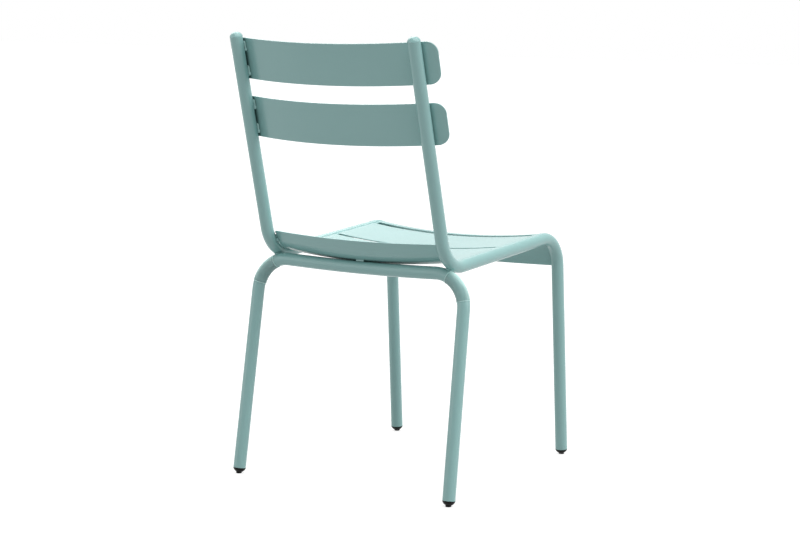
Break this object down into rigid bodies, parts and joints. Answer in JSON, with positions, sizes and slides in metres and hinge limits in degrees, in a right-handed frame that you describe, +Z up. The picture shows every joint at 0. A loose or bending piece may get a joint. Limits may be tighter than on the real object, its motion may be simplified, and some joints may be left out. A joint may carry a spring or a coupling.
{
  "type": "stacking side chair",
  "caption": "Armless stacking side chair of bent metal tube, with bowed sheet slats for seat and back, black glides and clear stacking guards.",
  "frame": {"origin": "on the floor, under the middle of the chair's overall box", "axes": "+Z up, -Y towards the front of the seat, +X towards the sitting person's left"},
  "size_m": [0.5132, 0.6151, 0.8785],
  "materials": {
    "pale_green_powder_coat": "satin powder coat, pale grey green",
    "painted_weld": "the same powder coat over rippled weld beads",
    "black_plastic": "moulded, slightly glossy",
    "clear_plastic": "clear soft sleeve"
  },
  "bodies": {
    "root": {"front_left_glide": "black_plastic", "front_right_glide": "black_plastic", "front_seat_slat": "pale_green_powder_coat", "front_seat_slat_welds": "painted_weld", "left_knee_weld": "painted_weld", "left_side_frame": "pale_green_powder_coat", "left_stacking_guard": "clear_plastic", "left_upright_cap": "pale_green_powder_coat", "lower_back_slat": "pale_green_powder_coat", "lower_back_slat_welds": "painted_weld", "middle_seat_slat": "pale_green_powder_coat", "middle_seat_slat_welds": "painted_weld", "rear_left_glide": "black_plastic", "rear_leg_arch": "pale_green_powder_coat", "rear_right_glide": "black_plastic", "rear_seat_slat": "pale_green_powder_coat", "rear_seat_slat_welds": "painted_weld", "rear_seat_support": "pale_green_powder_coat", "right_knee_weld": "painted_weld", "right_side_frame": "pale_green_powder_coat", "right_stacking_guard": "clear_plastic", "right_upright_cap": "pale_green_powder_coat", "upper_back_slat": "pale_green_powder_coat", "upper_back_slat_welds": "painted_weld"}
  },
  "joints": []
}
